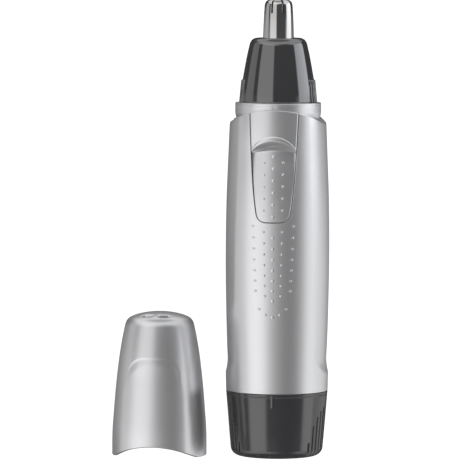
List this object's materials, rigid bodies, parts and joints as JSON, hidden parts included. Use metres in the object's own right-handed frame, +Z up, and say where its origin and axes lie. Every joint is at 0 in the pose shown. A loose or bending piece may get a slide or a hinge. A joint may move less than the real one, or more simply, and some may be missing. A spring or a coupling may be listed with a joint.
{
  "type": "nose hair trimmer",
  "caption": "Battery-powered nose hair trimmer with a slotted steel tip, twist-off cutting head, sliding switch, twist-off battery cap and a separate protective cap.",
  "frame": {"origin": "centre of the flat base of the battery cap, which the trimmer stands on", "axes": "+Z up along the trimmer's axis to the cutting tip, -Y to the front with the switch, +X to the right; the protective cap stands on the same plane at -X"},
  "size_m": [0.0639, 0.033, 0.135],
  "materials": {
    "silver_paint": "satin silver lacquer on moulded plastic",
    "head_gloss": "dark grey glossy moulded plastic",
    "cap_dark": "dark grey satin moulded plastic",
    "tip_chrome": "polished",
    "blade_steel": "ground",
    "shaft_steel": "ground",
    "motor_steel": "zinc plated",
    "spring_steel": "nickel plated",
    "contact_brass": "satin",
    "contact_nickel": "nickel plated",
    "bush_bronze": "sintered",
    "winding_copper": "enamelled",
    "magnet_ferrite": "sintered",
    "seal_rubber": "matte",
    "chassis_plastic": "natural moulded",
    "slider_plastic": "natural moulded",
    "end_cap_plastic": "natural moulded",
    "retainer_plastic": "moulded",
    "cell_wrap": "printed wrap"
  },
  "bodies": {
    "root": {"body_shell": "silver_paint", "neck_collar": "silver_paint", "inner_chassis": "chassis_plastic", "switch_detent_spring": "spring_steel", "switch_seal": "seal_rubber", "motor_can": "motor_steel", "motor_end_cap": "end_cap_plastic", "motor_magnets": "magnet_ferrite", "motor_terminals": "contact_brass", "shaft_seal": "seal_rubber", "positive_contact": "contact_nickel", "negative_contact_strip": "contact_brass", "motor_contact_strip": "contact_brass", "battery_cell": "cell_wrap"},
    "switch": {"switch_button": "silver_paint", "switch_slider": "slider_plastic", "switch_contact": "contact_brass"},
    "rotor": {"motor_shaft": "shaft_steel", "motor_armature": "winding_copper", "drive_coupling": "slider_plastic"},
    "cutter": {"cutter_shaft": "shaft_steel", "cutter_blade": "blade_steel"},
    "head": {"head_housing": "head_gloss", "head_foil": "tip_chrome", "foil_retainer": "retainer_plastic", "cutter_bush": "bush_bronze", "cutter_spring": "spring_steel", "head_base_plate": "retainer_plastic", "head_o_ring": "seal_rubber"},
    "battery_door": {"battery_cap": "cap_dark", "battery_cap_o_ring": "seal_rubber", "battery_spring": "spring_steel", "battery_contact_plate": "contact_nickel"},
    "loose_cap": {"protective_cap": "silver_paint"}
  },
  "joints": [
    {"name": "switch_slide", "type": "slide", "parent": "root", "child": "switch", "axis": [0, 0, 1], "range_m": [0, 0.0022]},
    {"name": "head_twist", "type": "hinge", "parent": "root", "child": "head", "pos_m": [0, 0, 0.11], "axis": [0, 0, 1], "range_deg": [0, 40]},
    {"name": "rotor_spin", "type": "hinge", "parent": "root", "child": "rotor", "pos_m": [0, 0, 0.08], "axis": [0, 0, 1], "continuous": true},
    {"name": "cutter_spin", "type": "hinge", "parent": "root", "child": "cutter", "pos_m": [0, 0, 0.12], "axis": [0, 0, 1], "continuous": true},
    {"name": "battery_cap_twist", "type": "hinge", "parent": "root", "child": "battery_door", "pos_m": [0, 0, 0.01], "axis": [0, 0, 1], "range_deg": [-40, 0]},
    {"name": "cap_lift", "type": "slide", "parent": "root", "child": "loose_cap", "axis": [0, 0, 1], "range_m": [0, 0.15]}
  ],
  "couplings": [
    {"joint": "cutter_spin", "follows": "rotor_spin", "ratio": 1}
  ]
}
